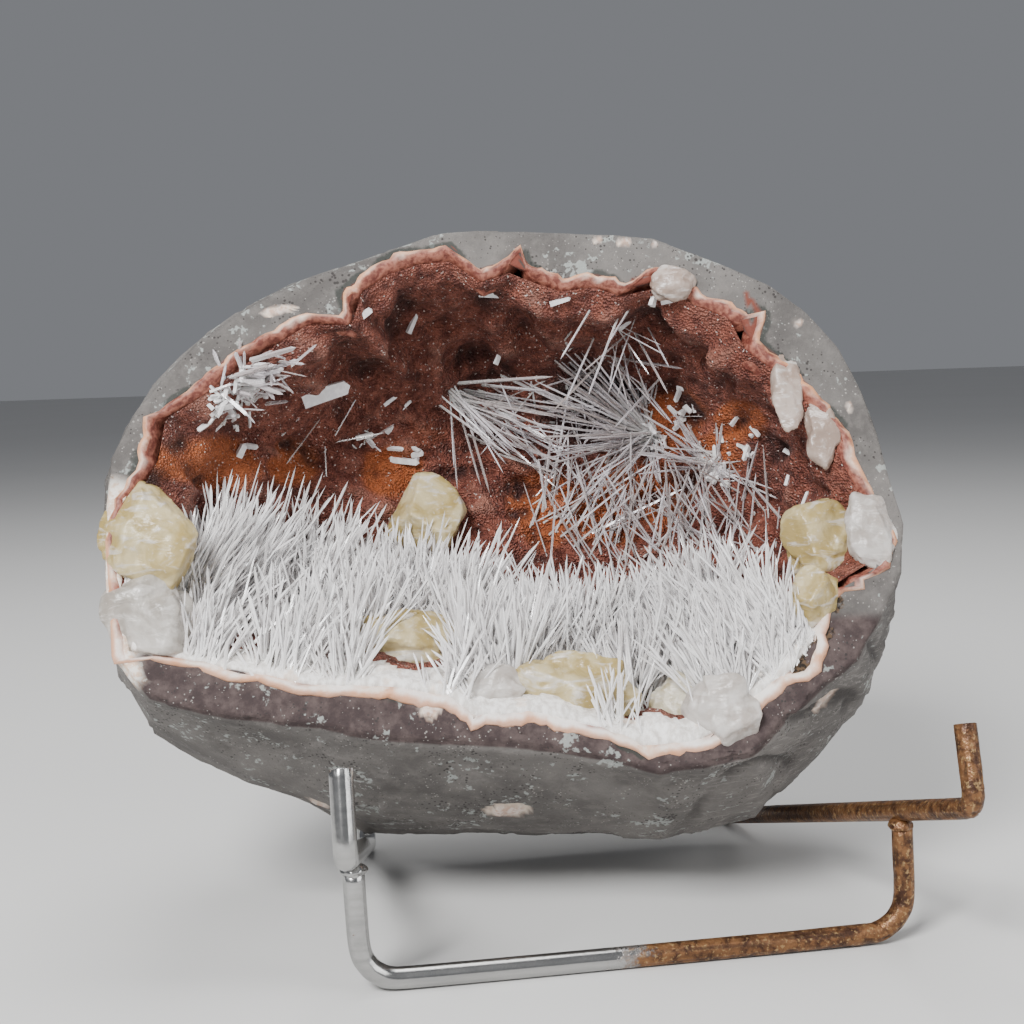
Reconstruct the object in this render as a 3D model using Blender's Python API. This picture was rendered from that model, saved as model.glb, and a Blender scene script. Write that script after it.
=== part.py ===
"""A scolecite specimen: half of a basalt geode, open to the front, on a stand of bent steel rod.

The stand is modelled in its own frame: X along the foot's bar, Y to the back, Z up, with the table at
Z = 0 under the middle of the bar. The stone is modelled in a frame of its own, seen from the front:
X across, Z up along its broken face, Y straight back from the face. Its object then carries the
lean, the turn and the place. An empty moves everything so that the origin is under the middle.
"""

import math
import random

import bmesh
import bpy
from mathutils import Matrix, Vector, noise
from mathutils.bvhtree import BVHTree

MM = 0.001
COLLECTION = "scolecite_specimen"
CUTTERS = "scolecite_cutters"
GAP = 0.3 * MM

# Stand: one diameter of rod throughout
ROD_RADIUS = 2.0 * MM
ROD_SIDES = 12
ARM_SLOPE = math.radians(15.74)
ARM_CONVERGE = math.radians(5.54)
ARM_HALF_WIDTH = 49.26 * MM
ARM_HEIGHT = 24.23 * MM
ARM_FRONT = 25.4 * MM
PRONG_LENGTH = 14.0 * MM
ELBOW_RADIUS = 3.0 * MM
BACKREST_LENGTH = 72.0 * MM
BACKREST_CORNER = 14.0 * MM
FOOT_BEND = 7.0 * MM
FOOT_LEAN = math.radians(1.9)
BEND_STEPS = 4

# Stone: place and attitude on the stand
STONE_MIDDLE = Vector((-16.95, 25.0, 83.1)) * MM
STONE_LEAN = math.radians(20)
STONE_TURN = math.radians(-6)

# Stone: outlines seen from the front, in millimetres across and up from the middle of the face
MOUTH = (
    (-70.0, 2.0), (-65.5, 5.0), (-66.0, 11.0), (-64.5, 16.5), (-58.5, 18.5), (-54.0, 24.5), (-47.5, 28.5),
    (-37.0, 35.5), (-28.0, 35.0), (-28.5, 40.5), (-19.0, 47.0), (-9.0, 48.0), (-6.0, 43.5), (1.0, 43.5),
    (5.5, 48.0), (9.5, 40.5), (19.0, 42.0), (25.0, 39.5), (31.5, 43.0), (38.0, 38.5), (43.0, 33.5),
    (51.0, 34.0), (49.0, 26.5), (57.0, 20.5), (63.0, 11.5), (65.0, 4.0), (70.5, -7.5), (71.0, -13.0),
    (66.0, -20.5), (59.0, -21.5), (56.5, -27.0), (55.5, -34.5), (46.5, -39.0), (40.0, -45.5), (31.0, -49.5),
    (22.0, -49.5), (12.5, -45.0), (1.0, -42.5), (-7.5, -43.5), (-11.0, -39.5), (-22.0, -37.0),
    (-39.0, -35.5), (-47.0, -33.0), (-54.0, -32.0), (-60.5, -28.0), (-66.0, -33.0), (-70.0, -26.0),
    (-70.5, -12.0),
)
FACE_EDGE = (
    (-9, 52), (-1.5, 52), (30, 50), (44.5, 43.5), (54, 38.5), (60, 33), (67, 23.5), (71, 8.5), (73, -6),
    (75, -13.5), (70.5, -23.5), (62.5, -34.5), (50.5, -43.5), (41, -51.5), (25, -53), (9.5, -48.5),
    (-4.5, -46.5), (-20.5, -45), (-29.5, -43.5), (-36.5, -41.5), (-46.5, -40.5), (-60.5, -38),
    (-69, -34), (-72.5, -24), (-73, -4.5), (-72, 9), (-66.5, 20), (-54, 33), (-39, 42), (-22, 47.5),
)
WIDEST = (
    (-11, 64), (-1.5, 64), (36.5, 60.5), (53, 52), (64, 45.5), (69.5, 38), (76.5, 27), (79, 9.5), (79.5, -6),
    (81.5, -15), (79, -26.5), (73, -40), (60, -51.5), (49, -61.5), (29, -63.5), (12, -61.5), (-5.5, -60.5),
    (-26.5, -58), (-37, -55), (-44.5, -51), (-55, -48), (-66, -41.5), (-73.5, -36), (-78, -14.5),
    (-79.5, -5), (-78, 13.5), (-74, 26.5), (-62, 40.5), (-47, 51), (-27, 58),
)
REAR = (
    (-10, 58), (0, 58.5), (33, 55), (48, 47), (58, 41), (64, 35), (70, 25), (73, 9), (74, -8), (76, -17),
    (75, -29), (69, -42), (55.8, -55.8), (46, -60), (28, -61), (12, -60.5), (-5, -59.5), (-24.5, -59.4),
    (-31.5, -58), (-40, -52), (-52, -46), (-62, -39), (-68, -33), (-71, -14), (-72, -5), (-71, 12), (-67, 24),
    (-56, 37), (-43, 46), (-25, 53),
)
WIDEST_DEPTH = 36.0 * MM
REAR_DEPTH = 58.0 * MM
BACK_DEPTH = 73.4 * MM
BACK_SKEW = 0.1
AROUND = 50
FRONT_STEPS = (0.0, 0.18, 0.42, 0.7, 1.0)
BACK_RINGS = ((0.94, 0.45), (0.8, 0.82), (0.55, 0.975), (0.28, 1.0))
HAMMER_MARKS = 1.1 * MM

# Hollow: its floor rises to the back, and its deepest place lies up and to the right
HOLLOW_DEPTH = 47.0 * MM
HOLLOW_SHIFT = (10.0 * MM, 15.0 * MM)
HOLLOW_STEPS = (0.0, 0.08, 0.18, 0.3, 0.43, 0.57, 0.72, 0.87)
HOLLOW_FULLNESS = 0.7
CRUST_GAP = 0.5 * MM
FRONT_ROOM = 40.0 * MM
CRUST_THICKNESS = 2.6 * MM
LINING_LUMP = 1.9 * MM

# Crystals
NEEDLE_SIDES = 3
MAT_NEEDLES = 92
MAT_LENGTH = (11.0 * MM, 18.0 * MM)
# Upper edge of the mat's feet: across and up, in millimetres
MAT_TOP = ((-66, -6), (-54, 0), (-40, -5), (-28, -10), (-4, -19), (12, -22), (24, -25), (41, -15), (62, -20))
NEEDLE_RADIUS = 0.62 * MM
ROOT = 1.6 * MM
SEED = 7

# Sprays: foot across and up, direction of the fan in degrees, its half angle, count, shortest, longest
SPRAYS = (
    (-47.0, 24.0, 35, 75, 9, 8.0, 13.0),
    (-7.5, 22.0, -62, 34, 9, 17.0, 26.0),
    (30.0, 14.0, 155, 48, 13, 17.0, 27.0),
    (31.0, 13.0, -120, 40, 6, 12.0, 20.0),
    (42.5, 6.5, 20, 72, 11, 11.0, 19.0),
    (15.0, 33.0, -85, 40, 6, 14.0, 22.0),
)

# Calcites: place across and up, how far their middle stands out of the wall, half sizes
CALCITES = (
    (-15.0, -7.0, 5.0, (7.4, 6.5, 7.6)),
    (-62.0, -9.0, 1.5, (7.5, 8.0, 10.5)),
    (62.0, -12.0, 1.5, (7.5, 7.5, 10.5)),
    (-19.0, -33.0, 2.0, (10.0, 6.0, 5.4)),
    (11.0, -39.0, 2.0, (11.5, 6.0, 6.4)),
    (30.0, -44.0, 1.5, (8.0, 5.5, 5.8)),
    (33.0, 38.5, 1.0, (5.0, 3.6, 4.2)),
    (56.0, 18.0, 0.5, (5.0, 3.4, 7.6)),
)

# Broken stubs that lie on the lining: place across and up, turn in degrees, length, thickness
STUBS = (
    (-32.0, 21.0, 14, 10.0, 2.6),
    (-16.0, 34.0, 60, 5.0, 1.2),
    (-3.0, 39.0, 5, 4.5, 1.2),
    (10.0, 37.0, -20, 4.5, 1.2),
    (-18.0, 7.5, -8, 6.5, 1.6),
    (-24.0, 12.0, 40, 4.5, 1.4),
    (-48.0, 9.0, 65, 5.0, 1.6),
    (27.0, 37.0, 75, 4.5, 1.4),
)

# Finishes: colour, roughness, metallic
FINISHES = {
    "basalt_shell": ((0.14, 0.12, 0.115), 0.85, 0.0),
    "crystal_crust": ((0.72, 0.6, 0.52), 0.5, 0.0),
    "cradle_rod": ((0.42, 0.33, 0.22), 0.45, 0.85),
    "foot_rod": ((0.5, 0.42, 0.32), 0.4, 0.9),
}


def clear_scene():
    """Remove what the scene holds, and make the two collections."""
    for obj in list(bpy.data.objects):
        bpy.data.objects.remove(obj, do_unlink=True)
    for name in (COLLECTION, CUTTERS):
        bpy.context.scene.collection.children.link(bpy.data.collections.new(name))


def finish_material(name):
    """The piece's own material."""
    colour, roughness, metallic = FINISHES[name]
    material = bpy.data.materials.new(name + "_finish")
    material.use_nodes = True
    shader = material.node_tree.nodes["Principled BSDF"]
    shader.inputs["Base Color"].default_value = (*colour, 1.0)
    shader.inputs["Roughness"].default_value = roughness
    shader.inputs["Metallic"].default_value = metallic
    return material


def new_object(name, mesh, collection=COLLECTION):
    """An object for the mesh, in its collection, with its finish if it is a piece."""
    obj = bpy.data.objects.new(name, mesh)
    bpy.data.collections[collection].objects.link(obj)
    if name in FINISHES:
        obj.data.materials.append(finish_material(name))
    return obj


def mesh_from_bmesh(name, bm):
    """Write the bmesh to a new mesh, with its faces pointing out."""
    bmesh.ops.recalc_face_normals(bm, faces=bm.faces)
    mesh = bpy.data.meshes.new(name)
    bm.to_mesh(mesh)
    bm.free()
    return mesh


def rounded_path(corners, radii):
    """The corners joined by straight runs, each inner corner rounded by an arc of its radius."""
    path = [corners[0]]
    for before, corner, after, radius in zip(corners, corners[1:], corners[2:], radii):
        back = (before - corner).normalized()
        ahead = (after - corner).normalized()
        half = back.angle(ahead) / 2
        centre = corner + (back + ahead).normalized() * (radius / math.sin(half))
        start = corner + back * (radius / math.tan(half)) - centre
        end = corner + ahead * (radius / math.tan(half)) - centre
        for step in range(BEND_STEPS + 1):
            path.append(centre + start.slerp(end, step / BEND_STEPS).normalized() * radius)
    path.append(corners[-1])
    return path


def rod(name, path):
    """A round rod along the path, with flat sawn ends."""
    curve = bpy.data.curves.new(name, "CURVE")
    curve.dimensions = "3D"
    curve.twist_mode = "MINIMUM"
    curve.bevel_depth = ROD_RADIUS
    curve.bevel_resolution = (ROD_SIDES - 4) // 2
    curve.use_fill_caps = True
    spline = curve.splines.new("POLY")
    spline.points.add(len(path) - 1)
    for point, place in zip(spline.points, path):
        point.co = (*place, 1.0)
        point.tilt = math.pi / ROD_SIDES
    guide = bpy.data.objects.new(name + "_curve", curve)
    bpy.data.collections[COLLECTION].objects.link(guide)
    bpy.context.view_layer.update()
    evaluated = guide.evaluated_get(bpy.context.evaluated_depsgraph_get())
    mesh = bpy.data.meshes.new_from_object(evaluated)
    bpy.data.objects.remove(guide, do_unlink=True)
    bm = bmesh.new()
    bm.from_mesh(mesh)
    bmesh.ops.remove_doubles(bm, verts=bm.verts, dist=0.01 * MM)
    mesh = mesh_from_bmesh(name, bm)
    mesh.shade_smooth()
    mesh.set_sharp_from_angle(angle=math.radians(40))
    return new_object(name, mesh)


def arm_point(side, along, off=0.0):
    """A point beside the weld: so far back along the arm, so far off it at a right angle."""
    across = side * (ARM_HALF_WIDTH - along * math.sin(ARM_CONVERGE))
    back = along * math.cos(ARM_SLOPE) + off * math.sin(ARM_SLOPE)
    height = ARM_HEIGHT - along * math.sin(ARM_SLOPE) + off * math.cos(ARM_SLOPE)
    return Vector((across, back, height))


def cradle_rod():
    """Prong, arm, heel on the table, backrest arch, and the same back down the other side."""
    heel_drop = ARM_HEIGHT - ROD_RADIUS + ELBOW_RADIUS * (
        math.sin(ARM_SLOPE) + math.cos(ARM_SLOPE) - 1)
    heel = heel_drop / math.sin(ARM_SLOPE)
    corners = []
    for side in (-1, 1):
        one_side = [
            arm_point(side, -ARM_FRONT, PRONG_LENGTH),
            arm_point(side, -ARM_FRONT),
            arm_point(side, heel),
            arm_point(side, heel, BACKREST_LENGTH),
        ]
        corners += one_side if side < 0 else one_side[::-1]
    radii = (ELBOW_RADIUS, ELBOW_RADIUS, BACKREST_CORNER, BACKREST_CORNER, ELBOW_RADIUS, ELBOW_RADIUS)
    return rod("cradle_rod", rounded_path(corners, radii))


def foot_rod():
    """The bar on the table and the two uprights, which end just under the arms."""
    flat = ROD_RADIUS * math.cos(math.pi / ROD_SIDES)
    top = ARM_HEIGHT - ROD_RADIUS / math.cos(ARM_SLOPE) - ROD_RADIUS * math.tan(ARM_SLOPE) - GAP
    drift = (top - flat) * math.tan(FOOT_LEAN)
    corners = [
        Vector((-ARM_HALF_WIDTH, 0, top)),
        Vector((-ARM_HALF_WIDTH + drift, 0, flat)),
        Vector((ARM_HALF_WIDTH + drift, 0, flat)),
        Vector((ARM_HALF_WIDTH, 0, top)),
    ]
    return rod("foot_rod", rounded_path(corners, (FOOT_BEND, FOOT_BEND)))


def reach(outline, angle):
    """How far the outline lies from the middle of the face in this direction, in metres."""
    ray = Vector((math.cos(angle), math.sin(angle)))
    farthest = 0.0
    for start, end in zip(outline, outline[1:] + outline[:1]):
        start = Vector(start)
        edge = Vector(end) - start
        across = ray.cross(edge)
        if abs(across) < 1e-9:
            continue
        distance = start.cross(edge) / across
        place = start.cross(ray) / across
        if distance > 0 and -1e-6 <= place <= 1 + 1e-6:
            farthest = max(farthest, distance)
    return farthest * MM


def on_section(angle, radius, depth, centre=(0.0, 0.0)):
    """A point of the stone: its direction and radius seen from the front, and its depth."""
    return Vector((centre[0] + radius * math.cos(angle), depth, centre[1] + radius * math.sin(angle)))


def directions():
    return [2 * math.pi * step / AROUND for step in range(AROUND)]


def outside_rings():
    """Rings of the outer skin, from the edge of the broken face to the back."""
    rings = []
    for step in FRONT_STEPS:
        swell = math.sin(step * math.pi / 2)
        rings.append([
            on_section(a, reach(FACE_EDGE, a) * (1 - swell) + reach(WIDEST, a) * swell, step * WIDEST_DEPTH)
            for a in directions()])
    middle = (WIDEST_DEPTH + REAR_DEPTH) / 2
    rings.append([on_section(a, 0.4 * reach(WIDEST, a) + 0.6 * reach(REAR, a), middle) for a in directions()])
    rings.append([on_section(a, reach(REAR, a), REAR_DEPTH) for a in directions()])
    for shrink, rise in BACK_RINGS:
        depth = REAR_DEPTH + (BACK_DEPTH - REAR_DEPTH) * rise
        rings.append([on_section(a, reach(REAR, a) * shrink, depth) for a in directions()])
    for ring in rings:
        for point in ring:
            point.y += BACK_SKEW * point.x * min(1.0, point.y / REAR_DEPTH)
    return rings


def hollow_ring(step, inset):
    """A ring of the hollow's wall: step 0 is the mouth, step 1 the deepest place."""
    swing = step * math.pi / 2
    shrink = math.cos(swing) ** HOLLOW_FULLNESS
    centre = (HOLLOW_SHIFT[0] * step, HOLLOW_SHIFT[1] * step)
    depth = (HOLLOW_DEPTH - inset) * math.sin(swing)
    return [on_section(a, (reach(MOUTH, a) - inset) * shrink, depth, centre) for a in directions()]


def loft(name, start, rings, end):
    """A closed skin through the rings, drawn to a point at both ends."""
    bm = bmesh.new()
    rows = [[bm.verts.new(point) for point in ring] for ring in rings]
    for tip, row in ((start, rows[0]), (end, rows[-1])):
        pole = bm.verts.new(tip)
        for here, after in zip(row, row[1:] + row[:1]):
            bm.faces.new((here, after, pole))
    for low, high in zip(rows, rows[1:]):
        for i in range(AROUND):
            j = (i + 1) % AROUND
            bm.faces.new((low[i], low[j], high[j], high[i]))
    return mesh_from_bmesh(name, bm)


def basalt_shell():
    """The boulder with its hollow, its outer skin hammered to shallow facets."""
    outer = outside_rings()
    for ring in outer[1:]:
        for point in ring:
            mark = noise.cell(point * 62.0) - 0.5 + 0.6 * noise.noise(point * 90.0)
            outward = Vector((point.x, 0.0, point.z)).normalized()
            point -= outward * (HAMMER_MARKS * max(0.0, mark))
    inner = [hollow_ring(step, 0.0) for step in HOLLOW_STEPS]
    pole = Vector((HOLLOW_SHIFT[0], HOLLOW_DEPTH, HOLLOW_SHIFT[1]))
    mesh = loft("basalt_shell", pole, inner[::-1] + outer, Vector((0.0, BACK_DEPTH, 0.0)))
    return new_object("basalt_shell", mesh)


def lining_point(point, step, angle):
    """Where the crust's free face lies over a point of the wall: lumps, and a thicker white floor."""
    lumps = noise.noise(point * 70.0) + 0.6 * noise.noise(point * 150.0)
    fade = min(1.0, step / 0.12)
    floor = max(0.0, -math.sin(angle)) * max(0.0, 1.0 - abs(step - 0.1) / 0.25)
    rise = CRUST_THICKNESS + fade * LINING_LUMP * lumps + 1.5 * MM * floor
    centre = Vector((HOLLOW_SHIFT[0] * step, -12.0 * MM, HOLLOW_SHIFT[1] * step))
    return point + (centre - point).normalized() * max(rise, 1.0 * MM)


def crust_lining():
    """The crust without its crystals: it fills the mouth to its rim and stands just proud of the face."""
    behind = [hollow_ring(step, CRUST_GAP) for step in HOLLOW_STEPS]
    front = [[point + Vector((0, -0.8 * MM, 0)) for point in hollow_ring(0.0, 1.2 * MM)]]
    for step in HOLLOW_STEPS:
        ring = hollow_ring(step, CRUST_GAP)
        front.append([lining_point(point, step, a) for point, a in zip(ring, directions())])
    back_pole = Vector((HOLLOW_SHIFT[0], HOLLOW_DEPTH - CRUST_GAP, HOLLOW_SHIFT[1]))
    front_pole = back_pole - Vector((0.0, CRUST_THICKNESS, 0.0))
    return loft("crust_lining", back_pole, behind[::-1] + front, front_pole)


def add_needle(bm, foot, direction, length, radius):
    """A slender square prism with a pointed end, its foot sunk in what it grows from."""
    direction = direction.normalized()
    turn = Vector((0, 0, 1)).rotation_difference(direction).to_matrix().to_4x4()
    body = length * 0.8
    made = bmesh.ops.create_cone(
        bm, segments=NEEDLE_SIDES, cap_ends=True, radius1=radius, radius2=radius * 0.8, depth=body,
        matrix=Matrix.Translation(foot) @ turn @ Matrix.Translation((0, 0, body / 2)))
    tip = foot + direction * body
    faces = {f for v in made["verts"] for f in v.link_faces}
    top = min(faces, key=lambda f: (f.calc_center_median() - tip).length)
    bmesh.ops.poke(bm, faces=[top], offset=length - body, center_mode="MEAN")


def fan(direction_degrees, spread_degrees, dice):
    """A direction inside a fan that opens to the viewer."""
    angle = math.radians(direction_degrees + dice.uniform(-spread_degrees, spread_degrees))
    toward_viewer = dice.uniform(0.2, 0.75)
    return Vector((math.cos(angle), -toward_viewer, math.sin(angle)))


def seat(wall, across, up):
    """The place on the crust's free face behind a point seen from the front."""
    start = Vector((across, -30.0 * MM, up))
    return wall.ray_cast(start, Vector((0, 1, 0)))[0]


def mat_foot(dice):
    """A place on the floor of the hollow, across and up as seen from the front."""
    across = dice.uniform(-62.0, 57.0)
    for (left, low), (right, high) in zip(MAT_TOP, MAT_TOP[1:]):
        if left <= across <= right:
            top = low + (high - low) * (across - left) / (right - left)
    bottom = -40.0 * math.sqrt(1.0 - (across / 72.0) ** 2)
    return across * MM, (bottom + (top - bottom) * dice.random()) * MM


def needles(wall):
    """The mat on the floor and the sprays in the hollow, all in one mesh."""
    dice = random.Random(SEED)
    bm = bmesh.new()
    made = 0
    while made < MAT_NEEDLES:
        across, up = mat_foot(dice)
        foot = seat(wall, across, up)
        if foot is None or foot.y > 40 * MM:
            continue
        lean = Vector((-0.35 * across / (60 * MM) + dice.uniform(-0.3, 0.3), -dice.uniform(0.15, 0.6), 1.0))
        length = dice.uniform(*MAT_LENGTH)
        add_needle(bm, foot - lean.normalized() * ROOT, lean, length, NEEDLE_RADIUS * dice.uniform(0.8, 1.2))
        made += 1
    for across, up, heading, spread, count, shortest, longest in SPRAYS:
        for _ in range(count):
            foot = seat(wall, (across + dice.uniform(-2, 2)) * MM, (up + dice.uniform(-2, 2)) * MM)
            course = fan(heading, spread, dice)
            length = dice.uniform(shortest, longest) * MM
            add_needle(bm, foot - course.normalized() * ROOT, course, length, NEEDLE_RADIUS * 0.9)
    for across, up, turn, length, thickness in STUBS:
        foot = seat(wall, across * MM, up * MM)
        course = Vector((math.cos(math.radians(turn)), -0.25, math.sin(math.radians(turn))))
        start = foot - course.normalized() * ROOT
        add_needle(bm, start, course, (length + 1.6) * MM, thickness * 0.7 * MM)
    return mesh_from_bmesh("needles", bm)


def calcites(wall):
    """Blunt rounded calcites with flat cleavage faces, half sunk in the crust."""
    bm = bmesh.new()
    for across, up, stand_out, half in CALCITES:
        place = seat(wall, across * MM, up * MM) - Vector((0.0, stand_out * MM, 0.0))
        size = Matrix.Diagonal((*[h * MM for h in half], 1.0))
        made = bmesh.ops.create_icosphere(bm, subdivisions=2, radius=1.0, matrix=Matrix.Translation(place) @ size)
        for vert in made["verts"]:
            spoke = vert.co - place
            vert.co = place + spoke * (1.0 + 0.16 * noise.noise(vert.co * 260.0))
    return mesh_from_bmesh("calcites", bm)


def combine(body, extra_mesh, operation):
    """Join the extra mesh to the body, or keep what both share, and make that the body's own mesh."""
    extra = new_object(extra_mesh.name, extra_mesh, CUTTERS)
    extra.hide_render = True
    extra.display_type = "WIRE"
    modifier = body.modifiers.new("combine", "BOOLEAN")
    modifier.operation = operation
    modifier.solver = "EXACT"
    modifier.use_self = True
    modifier.object = extra
    bpy.context.view_layer.update()
    evaluated = body.evaluated_get(bpy.context.evaluated_depsgraph_get())
    joined = bpy.data.meshes.new_from_object(evaluated)
    body.modifiers.remove(modifier)
    bpy.data.objects.remove(extra, do_unlink=True)
    body.data = joined


def keep_outer_skin(body):
    """Keep the body's one outer skin: a pocket shut in between crystals becomes solid."""
    bm = bmesh.new()
    bm.from_mesh(body.data)
    left = set(bm.faces)
    skins = []
    while left:
        start = next(iter(left))
        left.remove(start)
        skin, edge_of_search = [start], [start]
        while edge_of_search:
            for edge in edge_of_search.pop().edges:
                for face in edge.link_faces:
                    if face in left:
                        left.remove(face)
                        skin.append(face)
                        edge_of_search.append(face)
        skins.append(skin)
    skins.sort(key=len)
    bmesh.ops.delete(bm, geom=[face for skin in skins[:-1] for face in skin], context="FACES")
    bm.to_mesh(body.data)
    bm.free()


def room_for_crystals():
    """The hollow, and the open space before the face: no crystal's root may go past it."""
    inset = CRUST_GAP - 0.1 * MM
    behind = [hollow_ring(step, inset) for step in HOLLOW_STEPS]
    mouth = behind[0]
    before = Vector((0.0, -GAP, 0.0))
    front = [[point + before for point in mouth]]
    for ahead in (-GAP, -FRONT_ROOM):
        front.append([point * ((point.length + FRONT_ROOM) / point.length) + Vector((0.0, ahead, 0.0))
                      for point in mouth])
    back_pole = Vector((HOLLOW_SHIFT[0], HOLLOW_DEPTH - inset, HOLLOW_SHIFT[1]))
    return loft("room", back_pole, behind[::-1] + front, Vector((0.0, -FRONT_ROOM, 0.0)))


def crystal_crust():
    """The lining, rim and floor with every crystal grown on them, in one solid."""
    lining = crust_lining()
    bm = bmesh.new()
    bm.from_mesh(lining)
    wall = BVHTree.FromBMesh(bm)
    bm.free()
    crust = new_object("crystal_crust", lining)
    combine(crust, calcites(wall), "UNION")
    combine(crust, needles(wall), "UNION")
    combine(crust, room_for_crystals(), "INTERSECT")
    keep_outer_skin(crust)
    return crust


def set_stone_down(piece):
    """Lean the piece back, turn it and move it to its place on the stand."""
    turn = Matrix.Rotation(STONE_TURN, 4, "Z") @ Matrix.Rotation(-STONE_LEAN, 4, "X")
    piece.matrix_world = Matrix.Translation(STONE_MIDDLE) @ turn


def centre_on_origin(pieces):
    """Hang the pieces on an empty and move it so that the origin is under their middle."""
    bpy.context.view_layer.update()
    corners = [piece.matrix_world @ vert.co for piece in pieces for vert in piece.data.vertices]
    low = Vector([min(c[axis] for c in corners) for axis in range(3)])
    high = Vector([max(c[axis] for c in corners) for axis in range(3)])
    root = bpy.data.objects.new("specimen_origin", None)
    bpy.data.collections[COLLECTION].objects.link(root)
    for piece in pieces:
        piece.parent = root
    root.location = (-(low.x + high.x) / 2, -(low.y + high.y) / 2, -low.z)


def build():
    clear_scene()
    stand = [cradle_rod(), foot_rod()]
    stone = [basalt_shell(), crystal_crust()]
    for piece in stone:
        set_stone_down(piece)
    centre_on_origin(stand + stone)


build()
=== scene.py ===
"""The looks of the scolecite specimen: the stone, its crystals and the wire stand, on a pale floor."""

import math
import random

import bpy
import numpy as np
from mathutils import Matrix, Vector, noise
from mathutils.bvhtree import BVHTree
from mathutils.kdtree import KDTree


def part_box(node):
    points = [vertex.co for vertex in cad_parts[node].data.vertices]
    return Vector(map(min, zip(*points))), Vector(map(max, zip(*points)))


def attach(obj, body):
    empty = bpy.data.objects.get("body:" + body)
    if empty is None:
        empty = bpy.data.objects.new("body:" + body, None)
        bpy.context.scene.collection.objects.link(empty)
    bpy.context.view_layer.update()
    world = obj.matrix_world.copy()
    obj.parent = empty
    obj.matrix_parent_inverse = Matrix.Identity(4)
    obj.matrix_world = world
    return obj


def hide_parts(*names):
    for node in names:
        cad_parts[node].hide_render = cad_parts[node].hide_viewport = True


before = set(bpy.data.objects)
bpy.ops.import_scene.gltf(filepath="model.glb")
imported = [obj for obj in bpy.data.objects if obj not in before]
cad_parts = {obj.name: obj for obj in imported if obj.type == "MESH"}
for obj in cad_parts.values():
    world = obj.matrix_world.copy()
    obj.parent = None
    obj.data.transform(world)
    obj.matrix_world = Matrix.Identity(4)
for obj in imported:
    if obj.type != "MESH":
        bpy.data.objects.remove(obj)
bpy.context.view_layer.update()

MM = 0.001

# The stone's own frame: X across its face, Y straight back from the face, Z up along the face
STONE_MIDDLE = Vector((-3.79, -15.57, 83.09)) * MM
STONE_LEAN = math.radians(20)
STONE_TURN = math.radians(-6)
STONE = (Matrix.Translation(STONE_MIDDLE) @ Matrix.Rotation(STONE_TURN, 4, "Z")
         @ Matrix.Rotation(-STONE_LEAN, 4, "X"))
TO_STONE = STONE.inverted()

# The camera: its place, its turn and pitch, its roll, and its lens on a 36 mm sensor
CAMERA_PLACE = Vector((-51.83, -309.99, 107.63)) * MM
CAMERA_TURN = math.radians(-9.49)
CAMERA_PITCH = math.radians(84.51)
CAMERA_ROLL = math.radians(-1.81)
CAMERA_LENS = 57.02

dice = random.Random(11)


class Field:
    """A shader socket that takes part in sums: each operator adds its Math node."""

    def __init__(self, finish, socket):
        self.finish = finish
        self.socket = socket

    def math(self, operation, *values):
        node = self.finish.nodes.new("ShaderNodeMath")
        node.operation = operation
        for slot, value in zip(node.inputs, values):
            self.finish.feed(slot, value)
        return Field(self.finish, node.outputs[0])

    def __add__(self, other):
        return self.math("ADD", self, other)

    def __radd__(self, other):
        return self.math("ADD", other, self)

    def __sub__(self, other):
        return self.math("SUBTRACT", self, other)

    def __rsub__(self, other):
        return self.math("SUBTRACT", other, self)

    def __mul__(self, other):
        return self.math("MULTIPLY", self, other)

    def __rmul__(self, other):
        return self.math("MULTIPLY", other, self)

    def __gt__(self, other):
        return self.math("GREATER_THAN", self, other)

    def clamp(self):
        return self.math("MINIMUM", self.math("MAXIMUM", self, 0.0), 1.0)


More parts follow.
